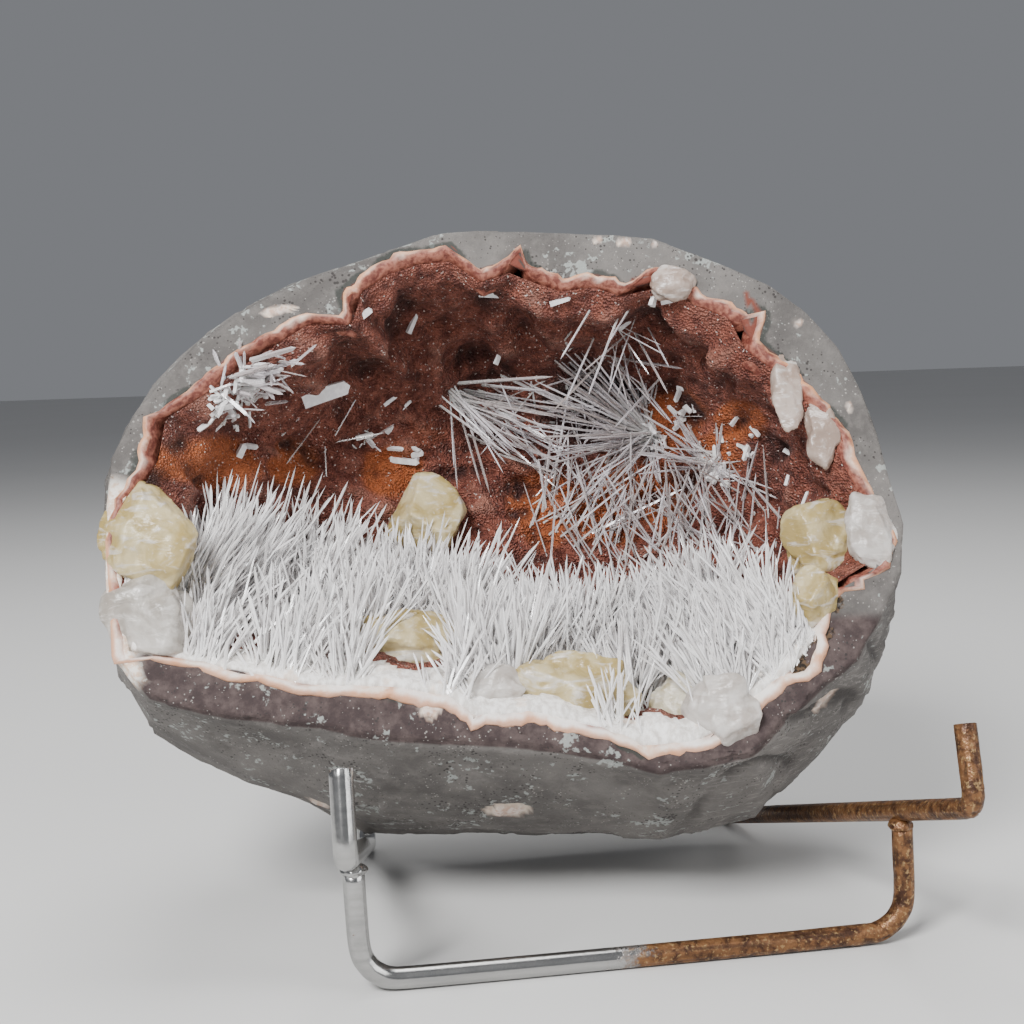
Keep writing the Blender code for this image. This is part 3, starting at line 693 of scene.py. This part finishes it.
def grow(name, pattern, needles):
    """One mesh of many needles: for each, its foot, direction, length, width, flatness and spin."""
    shape = points_of(pattern.data)
    faces = [tuple(p.vertices) for p in pattern.data.polygons]
    count = len(shape)
    points = np.empty((len(needles) * count, 3))
    height = np.empty(len(needles) * count)
    for i, (foot, way, length, width, flat, spin) in enumerate(needles):
        turn = way.to_track_quat("Z", "X").to_matrix() @ Matrix.Rotation(spin, 3, "Z")
        local = shape * np.array([width, width * flat, length])
        points[i * count:(i + 1) * count] = local @ np.array(turn).T + np.array(foot)
        height[i * count:(i + 1) * count] = shape[:, 2]
    mesh = bpy.data.meshes.new(name)
    mesh.from_pydata(points.tolist(), [], [tuple(v + i * count for v in f) for i in range(len(needles)) for f in faces])
    mesh.update()
    store(mesh, "height", height)
    store(mesh, "shade", np.repeat(np.random.default_rng(len(needles)).random(len(needles)), count))
    piece = bpy.data.objects.new(name, mesh)
    bpy.context.scene.collection.objects.link(piece)
    return piece


def surface_tree(*pieces):
    """A tree for casting rays at the pieces' surfaces."""
    points, faces = [], []
    for piece in pieces:
        start = len(points)
        points += [v.co.copy() for v in piece.data.vertices]
        faces += [tuple(start + v for v in p.vertices) for p in piece.data.polygons]
    return BVHTree.FromPolygons(points, faces)


def seat(tree, across, up):
    """The place of the surface that the photograph's viewer sees through this spot of the face's plane."""
    spot = STONE @ (Vector((across, 0.0, up)) * MM)
    return tree.ray_cast(CAMERA_PLACE, (spot - CAMERA_PLACE).normalized())[0]


def heading(across, back, up):
    return (STONE.to_3x3() @ Vector((across, back, up))).normalized()


# The mat's feet: across, their upper edge, their lower edge, as seen in the face's plane
MAT = ((-66, -18, -27), (-61, -16, -28), (-50, -9, -30), (-38, -13, -33), (-28, -17, -34), (-7, -24, -38),
       (8, -27, -41), (18, -29, -44), (32, -25, -46), (44, -22, -40), (53, -26, -32))
MAT_PIECES = 3
MAT_CLUMPS = 62
CLUMP_NEEDLES = 38


def mat_needles(tree):
    """Needles of the floor, in clumps that fan out: the clumps lean inwards and a little to the viewer."""
    made = []
    for _ in range(MAT_CLUMPS):
        across = dice.uniform(MAT[0][0], MAT[-1][0])
        top, bottom = (np.interp(across, [row[0] for row in MAT], [row[side] for row in MAT])
                       for side in (1, 2))
        up = bottom + (top - bottom) * dice.random()
        tilt = -0.0062 * across + dice.gauss(0.0, 0.16)
        nod = -abs(dice.gauss(0.1, 0.12))
        for _ in range(CLUMP_NEEDLES):
            side, rise = dice.gauss(0.0, 2.6), dice.gauss(0.0, 1.6)
            spot = (across + side, max(bottom - 1.5, up + rise))
            covered = any(math.hypot((spot[0] - row[1]) / row[4][0], (spot[1] + 2.5 - row[2]) / row[4][2]) < 0.8
                          for row in CALCITES)
            foot = seat(tree, *spot)
            if foot is None or covered:
                continue
            back = (TO_STONE @ foot).y / MM
            if back < 0.3:
                continue
            way = heading(tilt + 0.1 * side + dice.gauss(0.0, 0.25),
                          nod - 0.06 * rise + dice.gauss(0.0, 0.2), 1.0)
            length = dice.triangular(7.0, 22.0, 13.0) * (0.6 + 0.4 * min(1.0, back / 9.0))
            made.append((foot - way * 1.0 * MM, way, length * MM, dice.triangular(0.2, 0.66, 0.32) * MM,
                         dice.uniform(0.5, 1.0), dice.uniform(0.0, math.pi)))
    return made


# Sprays: foot across and up as seen in the face's plane, spread of the feet, direction of the fan in
# degrees, its half angle, count, shortest, longest, thickest
SPRAYS = (
    (-47.4, 22.1, 2.2, 30, 85, 46, 4.0, 11.0, 0.9),
    (-51.5, 18.5, 2.0, 60, 80, 18, 4.0, 8.0, 0.9),
    (-43.0, 25.0, 1.5, -15, 70, 16, 4.0, 9.0, 0.7),
    (-8.4, 18.8, 0.8, -60, 36, 26, 12.0, 27.0, 0.5),
    (-8.0, 18.8, 0.8, 165, 85, 9, 6.0, 14.0, 0.4),
    (-3.0, 15.0, 3.0, -38, 14, 26, 12.0, 24.0, 0.62),
    (-6.0, 18.6, 1.2, -15, 5, 7, 24.0, 33.0, 0.6),
    (27.6, 9.2, 0.9, 165, 34, 50, 14.0, 33.0, 0.5),
    (27.6, 9.8, 0.9, 108, 34, 26, 12.0, 25.0, 0.5),
    (28.0, 9.0, 0.9, -125, 48, 24, 10.0, 22.0, 0.5),
    (39.3, 2.4, 0.9, 22, 75, 38, 8.0, 18.0, 0.5),
    (38.6, 3.0, 0.9, 155, 42, 20, 9.0, 20.0, 0.5),
    (17.8, 17.0, 6.5, 90, 180, 70, 9.0, 20.0, 0.45),
    (24.4, 30.0, 3.0, -90, 50, 18, 10.0, 22.0, 0.4),
    (9.1, -5.0, 3.0, 62, 50, 30, 10.0, 24.0, 0.5),
    (17.2, -9.0, 4.0, 85, 55, 34, 10.0, 24.0, 0.5),
    (26.0, -13.0, 4.0, 95, 55, 34, 10.0, 22.0, 0.5),
    (36.0, -10.0, 4.0, 110, 50, 34, 9.0, 20.0, 0.5),
    (46.0, -10.0, 4.0, 125, 45, 26, 8.0, 18.0, 0.45),
    (-25.0, 11.0, 1.0, 60, 120, 6, 4.0, 8.0, 0.4),
    (-34.0, 12.0, 3.0, 40, 60, 6, 6.0, 14.0, 0.3),
)


def spray_needles(tree):
    """Needles of the sprays: each fan opens from its foot on the wall, towards the viewer."""
    made = []
    for across, up, loose, course, spread, count, shortest, longest, thickest in SPRAYS:
        for _ in range(count):
            foot = seat(tree, across + dice.gauss(0.0, loose), up + dice.gauss(0.0, loose))
            if foot is None:
                continue
            angle = math.radians(course + dice.uniform(-spread, spread))
            way = heading(math.cos(angle), -abs(dice.gauss(0.25, 0.25)) - 0.08, math.sin(angle))
            length = dice.uniform(shortest, longest)
            made.append((foot - way * 0.8 * MM, way, length * MM, dice.uniform(0.24, thickest) * MM,
                         dice.uniform(0.6, 1.0), dice.uniform(0.0, math.pi)))
    return made


def needle_finish(name, clear, dull, bright):
    """Needles that are white at the foot and clearer above, some of them duller than others."""
    finish = Finish(name, IOR=1.51, Transmission_Weight=clear, Roughness=0.16)
    height = finish.attribute("height")
    streak = finish.noise(700.0, 2.0)
    clearer = finish.mix(finish.attribute("shade"), dull, bright)
    colour = finish.mix(finish.step(height + streak * 0.4, 0.2, 0.7), (0.93, 0.92, 0.9), clearer)
    finish.set(Base_Color=colour, Roughness=0.12 + finish.step(streak, 0.4, 0.7) * 0.2)
    return finish


# Loose white stubs on the lining: across and up as seen in the face's plane, turn in degrees, length,
# width, thickness
STUBS = (
    (-32.3, 19.8, 14, 9.8, 3.3, 1.2),
    (-15.8, 33.2, 65, 4.6, 1.0, 0.8),
    (-0.9, 38.4, -10, 4.4, 1.1, 0.8),
    (12.4, 36.7, 14, 4.2, 0.9, 0.8),
    (0.2, 26.2, 66, 4.2, 0.9, 0.7),
    (-18.2, 6.1, -12, 6.2, 1.3, 0.9),
    (-15.8, 7.3, 72, 3.4, 0.9, 0.7),
    (-25.4, 11.2, 8, 3.8, 1.1, 0.8),
    (-24.5, 10.0, -55, 3.2, 1.0, 0.8),
    (-20.2, 18.2, 34, 4.2, 0.8, 0.7),
    (-17.6, 17.0, 40, 3.0, 0.7, 0.6),
    (30.4, 37.0, 72, 3.8, 1.3, 0.9),
    (33.1, 36.1, 6, 3.0, 1.0, 0.8),
    (-48.5, 8.5, 62, 4.8, 1.5, 1.0),
    (-46.6, 10.0, -12, 3.6, 1.1, 0.8),
    (-24.7, 35.3, 34, 3.2, 1.3, 0.8),
    (24.4, 31.5, 35, 3.2, 0.9, 0.6),
    (47.5, 9.5, -60, 3.0, 0.9, 0.7),
    (44.0, 12.0, 50, 3.4, 0.8, 0.6),
    (52.9, 0.3, 72, 3.6, 0.9, 0.7),
    (55.7, -4.0, 66, 3.4, 0.9, 0.7),
    (53.5, 5.0, -40, 2.6, 0.8, 0.6),
    (36.5, 6.5, 75, 3.4, 1.1, 0.8),
    (33.5, 12.0, 20, 2.8, 0.9, 0.7),
)
# Heaps of such stubs: across, up, count, spread
STUB_HEAPS = ((27.6, 9.2, 26, 2.2), (39.3, 2.4, 24, 2.4), (-48.0, 22.5, 30, 4.5), (-52.0, 18.0, 20, 4.0),
              (44.0, 6.0, 8, 4.0), (34.0, 14.0, 8, 4.0), (-19.0, 8.0, 4, 4.0))


def stub_needles(tree):
    """Broken crystals that lie on the lining and at the sprays' feet."""
    made = []
    for across, up, turn, length, width, thick in STUBS:
        foot = seat(tree, across, up)
        if foot is None:
            continue
        way = heading(math.cos(math.radians(turn)), -0.12, math.sin(math.radians(turn)))
        made.append((foot + heading(0, -1, 0) * 0.5 * MM - way * 0.5 * length * MM, way, length * MM, width * MM,
                     thick / width, 0.3))
    for across, up, count, spread in STUB_HEAPS:
        for _ in range(count):
            foot = seat(tree, across + dice.gauss(0.0, spread * 0.5), up + dice.gauss(0.0, spread * 0.5))
            if foot is None:
                continue
            angle = dice.uniform(0.0, 2 * math.pi)
            way = heading(math.cos(angle), -dice.uniform(0.1, 0.8), math.sin(angle))
            made.append((foot - way * 0.4 * MM, way, dice.uniform(1.8, 4.2) * MM,
                         dice.uniform(0.6, 1.3) * MM, dice.uniform(0.5, 0.9), dice.uniform(0.0, math.pi)))
    return made


def stub_finish():
    finish = Finish("white broken crystal", IOR=1.51, Transmission_Weight=0.15, Roughness=0.35)
    streak = finish.noise(900.0, 3.0)
    colour = finish.mix(finish.step(streak, 0.35, 0.7), (0.78, 0.76, 0.77), (0.95, 0.94, 0.93))
    finish.set(Base_Color=colour, Roughness=0.25 + streak * 0.3)
    return finish


# Calcites: name, across and up as seen in the face's plane, how far the middle stands out of the
# lining, half sizes, tone, number of intergrown blocks
CALCITES = (
    ("calcite_ball", -14.9, -6.0, 3.0, (7.0, 6.5, 8.2), "yellow", 1),
    ("calcite_left", -63.5, -5.5, 1.5, (8.8, 5.5, 11.0), "yellow", 3),
    ("calcite_left_low", -64.5, -20.0, 0.5, (7.5, 4.6, 9.5), "grey", 5),
    ("calcite_right", 59.5, -12.0, 1.5, (8.0, 5.5, 9.8), "yellow", 3),
    ("calcite_right_low", 55.4, -21.5, 1.0, (4.8, 4.4, 6.4), "yellow", 2),
    ("calcite_right_edge", 67.3, -10.5, 0.5, (4.6, 3.0, 8.0), "white", 6),
    ("calcite_floor_a", -18.5, -29.5, 2.0, (10.5, 4.2, 6.2), "yellow", 3),
    ("calcite_floor_b", 8.5, -37.0, 2.0, (11.5, 4.2, 6.8), "yellow", 4),
    ("calcite_floor_c", 27.6, -42.0, 1.5, (6.5, 4.0, 6.8), "cream", 4),
    ("calcite_floor_d", 37.0, -41.5, 1.5, (6.5, 3.6, 6.0), "white", 5),
    ("calcite_floor_e", -4.0, -37.0, 1.0, (6.0, 3.0, 3.6), "white", 4),
    ("calcite_top", 33.8, 39.5, 0.3, (4.6, 2.8, 3.8), "beige", 3),
    ("plates_right_high", 55.2, 17.0, 0.3, (3.8, 2.0, 7.4), "beige", 3),
    ("plates_right_low", 59.6, 8.5, 0.3, (3.6, 2.0, 6.4), "beige", 3),
)
TONES = {
    "yellow": ((0.5, 0.37, 0.13), (0.74, 0.62, 0.34)),
    "cream": ((0.56, 0.47, 0.28), (0.78, 0.72, 0.56)),
    "grey": ((0.42, 0.38, 0.33), (0.66, 0.62, 0.57)),
    "beige": ((0.42, 0.31, 0.25), (0.62, 0.51, 0.44)),
    "white": ((0.55, 0.49, 0.44), (0.78, 0.74, 0.7)),
}


def block(name, number, detail):
    """A blunt crystal block: a ball cut by a few planes into cleavage faces, about a unit in radius."""
    bpy.ops.mesh.primitive_ico_sphere_add(subdivisions=detail, radius=1.0)
    piece = bpy.context.object
    piece.name = name
    ball = points_of(piece.data)
    rng = np.random.default_rng(number)
    axes = np.linalg.qr(rng.normal(size=(3, 3)))[0] @ np.array(((1.0, 0.25, 0.2), (0.0, 1.0, 0.25), (0.0, 0.0, 1.0)))
    ways = np.concatenate((axes, -axes, rng.normal(size=(5, 3))))
    ways /= np.linalg.norm(ways, axis=1, keepdims=True)
    cut = np.ones(len(ball))
    for way in ways:
        facing = np.maximum(ball @ way, 1e-3)
        cut = np.minimum(cut, rng.uniform(0.62, 0.82) / facing)
    ball = ball * cut[:, None] * 1.25
    rough = 0.035 * value_noise(ball, 2.6, number) + 0.015 * value_noise(ball, 9.0, number)
    set_points(piece.data, ball * (1.0 + rough)[:, None])
    return piece


def calcite(tree, name, across, up, stand_out, half, tone, blocks, number):
    """One calcite, or several grown into each other, half sunk in the crust."""
    foot = seat(tree, across, up) or STONE @ (Vector((across, 0.5, up)) * MM)
    centre = foot + heading(0, -1, 0) * stand_out * MM
    parts = []
    for index in range(blocks):
        part = block(name, 10 * number + index, 5 if blocks < 3 else 4)
        size = 1.0 if blocks == 1 else dice.uniform(0.62, 0.85)
        roam = 0.0 if blocks == 1 else 0.36
        grown = points_of(part.data) * size + np.array([dice.uniform(-roam, roam) for _ in range(3)])
        grown = grown * np.array(half) * MM
        set_points(part.data, grown @ np.array(STONE.to_3x3()).T + np.array(centre))
        parts.append(part)
    only(*parts)
    if len(parts) > 1:
        bpy.ops.object.join()
    piece = bpy.context.object
    piece.name = name
    fuse = piece.modifiers.new("fuse", "REMESH")
    fuse.mode = "VOXEL"
    fuse.voxel_size = 0.32 * MM
    bpy.ops.object.modifier_apply(modifier=fuse.name)
    co = points_of(piece.data)
    rough = 0.35 * value_noise(co, 260.0, number) + 0.14 * value_noise(co, 800.0, number)
    set_points(piece.data, co + normals_of(piece.data) * (rough * MM)[:, None])
    piece.data.shade_smooth()
    return dress(piece, calcite_finish(name, tone), "crystals")


def calcite_finish(name, tone):
    finish = Finish(name.replace("_", " ") + " crystal", IOR=1.56, Transmission_Weight=0.35)
    dark, light = TONES[tone]
    cloud = finish.noise(150.0, 3.0, 0.6, 0.8)
    veil = finish.noise(1.0, 3.0, 0.65, 1.2, vector=finish.stretched((150.0, 150.0, 420.0), (0.5, 0.3, 0.0)))
    fine = finish.noise(1100.0)
    colour = finish.mix(finish.step(cloud, 0.38, 0.62), dark, light)
    colour = finish.mix(finish.step(veil, 0.52, 0.68) * 0.7, colour, (0.84, 0.8, 0.76))
    colour = finish.mix(finish.step(fine, 0.6, 0.75) * 0.4, colour, (0.93, 0.9, 0.86))
    finish.set(Base_Color=colour, Roughness=0.22 + 0.3 * cloud,
               Normal=finish.bump(fine * 0.5 + veil, 0.35 * MM, 0.6))
    return finish


# White base of the floor, along the lower rim

BASE_AROUND = 420
BASE_ACROSS = 20


def white_base(tree):
    """The white fibrous bank along the lower rim, from which the mat grows."""
    bpy.ops.mesh.primitive_grid_add(x_subdivisions=BASE_AROUND, y_subdivisions=BASE_ACROSS, size=2.0)
    piece = bpy.context.object
    piece.name = "white_base"
    mesh = piece.data
    grid = points_of(mesh)
    line = np.array(mouth_line(RIM_AROUND))
    start, end = math.radians(186.0), math.radians(338.0)
    stone = np.empty_like(grid)
    for i, (u, v, _) in enumerate(grid):
        angle = start + (end - start) * (u + 1) / 2
        edge = line[int(round(angle / (2 * math.pi) * RIM_AROUND)) % RIM_AROUND]
        inward = (Vector((3.0, 0.0, 1.0)) * MM - Vector(edge)).normalized()
        step = (v + 1) / 2
        taper = min(1.0, 12.0 * min((u + 1) / 2, (1 - u) / 2))
        spot = Vector(edge) + inward * ((0.8 + 17.0 * step) * MM)
        lump = 0.6 * noise.noise(spot * 260.0) + 0.5 * noise.noise(spot * 800.0)
        hump = math.sin(math.pi * min(1.0, step * 1.15)) ** 0.6
        hit = seat(tree, spot.x / MM, spot.z / MM)
        wall_back = (TO_STONE @ hit).y if hit is not None else spot.y
        stone[i] = (spot.x, wall_back + (0.6 - taper * hump * (2.4 + lump)) * MM, spot.z)
    set_points(mesh, to_frame(stone))
    only(piece)
    modifier = piece.modifiers.new("thickness", "SOLIDIFY")
    modifier.thickness = 1.0 * MM
    modifier.offset = -1.0
    bpy.ops.object.modifier_apply(modifier=modifier.name)
    bpy.ops.object.mode_set(mode="EDIT")
    bpy.ops.mesh.select_all(action="SELECT")
    bpy.ops.mesh.normals_make_consistent(inside=False)
    bpy.ops.object.mode_set(mode="OBJECT")
    mesh.shade_smooth()
    return dress(piece, base_finish(), "crystals")


def base_finish():
    finish = Finish("white fibrous base")
    fine = finish.noise(1.0, 4.0, 0.65, vector=finish.stretched((900.0, 900.0, 260.0)))
    blotch = finish.noise(170.0, 3.0)
    colour = finish.mix(finish.step(fine, 0.35, 0.65), (0.62, 0.58, 0.54), (0.92, 0.9, 0.87))
    colour = finish.mix(finish.step(blotch, 0.56, 0.68) * 0.5, colour, (0.8, 0.58, 0.42))
    finish.set(Base_Color=colour, Roughness=0.5, Normal=finish.bump(fine, 0.4 * MM, 0.7))
    return finish


# Stand

def stand_rod(node, name, finish, slot):
    """A rod of the stand, rounder than its solid, its rusty side pitted."""
    piece = copy_node(node, name)
    bpy.ops.object.mode_set(mode="EDIT")
    bpy.ops.mesh.select_all(action="SELECT")
    bpy.ops.mesh.tris_convert_to_quads()
    bpy.ops.mesh.select_all(action="DESELECT")
    bpy.ops.mesh.select_mode(type="EDGE")
    bpy.ops.mesh.edges_select_sharp(sharpness=math.radians(60))
    bpy.ops.transform.edge_crease(value=0.85)
    bpy.ops.mesh.select_all(action="SELECT")
    bpy.ops.mesh.subdivide(number_cuts=1)
    bpy.ops.object.mode_set(mode="OBJECT")
    round_off = piece.modifiers.new("round", "SUBSURF")
    round_off.levels = round_off.render_levels = 2
    settle(piece)
    mesh = piece.data
    co = points_of(mesh)
    rust = rounded(co[:, 0] / MM + 6.0 * value_noise(co, 90.0, 3.0), 0.0, 26.0)
    pits = rounded(value_noise(co, 700.0, 5.0) + 0.5 * value_noise(co, 1500.0, 8.0), 0.25, 0.6)
    scale = 0.5 + 0.5 * value_noise(co, 420.0, 2.0)
    sunk = rust * (0.16 * pits + 0.07 * scale) + 0.01
    set_points(mesh, co - normals_of(mesh) * (sunk * MM)[:, None])
    store(mesh, "rust", rust)
    store(mesh, "pits", pits * rust)
    mesh.shade_smooth()
    return dress(piece, finish, slot, node)


def steel_finish(name):
    """Drawn steel, bare on the left and glossy with brown rust on the right."""
    finish = Finish(name)
    worn = finish.noise(420.0, 4.0, 0.7)
    rust = finish.step(finish.attribute("rust") + (worn - 0.5) * 0.9, 0.3, 0.62)
    spots = finish.step(worn, 0.7, 0.76)
    rust = (rust + spots * 0.6).clamp()
    drawn = finish.noise(1.0, 3.0, 0.6, vector=finish.stretched((60.0, 900.0, 900.0)))
    steel = finish.mix(drawn, (0.27, 0.27, 0.27), (0.55, 0.545, 0.53))
    grain = finish.noise(1300.0, 2.0, 0.65)
    brown = finish.mix(finish.step(worn, 0.35, 0.62), (0.045, 0.017, 0.008), (0.2, 0.092, 0.036))
    brown = finish.mix(finish.step(grain, 0.54, 0.7) * 0.7, brown, (0.42, 0.27, 0.12))
    brown = finish.mix(finish.attribute("pits") * 0.8, brown, (0.035, 0.014, 0.006))
    colour = finish.mix(rust, steel, brown)
    height = grain * (rust * 0.9 + 0.08)
    finish.set(Base_Color=colour, Metallic=1.0 - rust * 0.5, Roughness=0.2 + rust * 0.16 + worn * 0.1,
               Normal=finish.bump(height, 0.3 * MM, 0.7))
    return finish


def weld_bead(name, place, finish, slot):
    """A small lump of weld where an upright meets its arm."""
    bpy.ops.mesh.primitive_ico_sphere_add(subdivisions=5, radius=2.25 * MM, location=place)
    piece = bpy.context.object
    piece.name = name
    bpy.ops.object.transform_apply(location=True)
    co = points_of(piece.data)
    centre = np.array(place)
    spokes = co - centre
    spokes *= np.array([1.0, 1.0, 0.62])
    lumps = 1.0 + 0.16 * value_noise(co, 700.0, 2.0)
    set_points(piece.data, centre + spokes * lumps[:, None])
    for name in ("rust", "pits"):
        store(piece.data, name, np.full(len(co), 1.0 if place[0] > 0.0 and name == "rust" else 0.0))
    piece.data.shade_smooth()
    return dress(piece, finish, slot)


def stand():
    cradle = steel_finish("cradle steel and rust")
    foot = steel_finish("foot steel and rust")
    stand_rod("cradle_rod", "cradle", cradle, "cradle_steel")
    stand_rod("foot_rod", "foot", foot, "foot_steel")
    low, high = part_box("foot_rod")
    for side, across in (("left", low.x + 2.0 * MM), ("right", high.x - 2.6 * MM)):
        weld_bead("weld_" + side, (across, (low.y + high.y) / 2, high.z + 0.3 * MM), foot, "foot_steel")


# Studio

def studio():
    """A pale floor, soft light from above and the left, and the camera."""
    bpy.ops.mesh.primitive_plane_add(size=12.0, location=(0.0, 0.0, -0.00005))
    floor = bpy.context.object
    floor.name = "studio_floor"
    paper = Finish("pale studio paper", Roughness=0.85)
    paper.set(Base_Color=paper.mix(paper.noise(3.0), (0.62, 0.615, 0.6), (0.66, 0.655, 0.645)))
    floor.data.materials.append(paper.material)

    world = bpy.data.worlds.new("studio")
    bpy.context.scene.world = world
    world.use_nodes = True
    world.node_tree.nodes["Background"].inputs["Color"].default_value = (0.9, 0.93, 1.0, 1.0)
    world.node_tree.nodes["Background"].inputs["Strength"].default_value = 0.22

    for name, place, size, power in (
            ("key", (-0.42, -0.6, 0.62), 0.3, 15.0),
            ("fill", (0.6, -0.5, 0.35), 0.5, 3.2),
            ("top", (0.05, 0.25, 0.8), 0.5, 4.5)):
        bpy.ops.object.light_add(type="AREA", location=place)
        light = bpy.context.object
        light.name = name
        light.data.size = size
        light.data.energy = power
        light.rotation_euler = (Vector((0.0, 0.0, 0.07)) - Vector(place)).to_track_quat("-Z", "Y").to_euler()

    camera_data = bpy.data.cameras.new("camera")
    camera = bpy.data.objects.new("camera", camera_data)
    bpy.context.scene.collection.objects.link(camera)
    camera_data.lens = CAMERA_LENS
    camera_data.sensor_width = 36.0
    camera_data.clip_start = 0.01
    camera.matrix_world = (Matrix.Translation(CAMERA_PLACE) @ Matrix.Rotation(CAMERA_TURN, 4, "Z")
                           @ Matrix.Rotation(CAMERA_PITCH, 4, "X") @ Matrix.Rotation(CAMERA_ROLL, 4, "Z"))
    bpy.context.scene.camera = camera


def crystals():
    """Everything that grew in the hollow."""
    wall = lining()
    rim_band()
    bank = white_base(surface_tree(wall))
    floor = surface_tree(wall, bank)
    wall_tree = surface_tree(wall)
    pattern = one_needle("needle_pattern")
    mat = needle_finish("scolecite needles of the mat", 0.12,
                        (0.78, 0.75, 0.74), (0.97, 0.96, 0.96))
    clear = needle_finish("scolecite needles of the sprays", 0.5,
                          (0.52, 0.45, 0.43), (0.93, 0.9, 0.94))
    for number in range(MAT_PIECES):
        name = "needle_mat_" + "abc"[number]
        dress(grow(name, pattern, mat_needles(floor)), mat, "crystals")
    dress(grow("needle_sprays", pattern, spray_needles(wall_tree)), clear, "crystals")
    dress(grow("broken_stubs", pattern, stub_needles(wall_tree)), stub_finish(), "crystals")
    bpy.data.objects.remove(pattern, do_unlink=True)
    for number, row in enumerate(CALCITES):
        calcite(wall_tree, *row, number + 1)


only(*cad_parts.values())
bpy.ops.object.select_all(action="DESELECT")
studio()
basalt()
crystals()
stand()
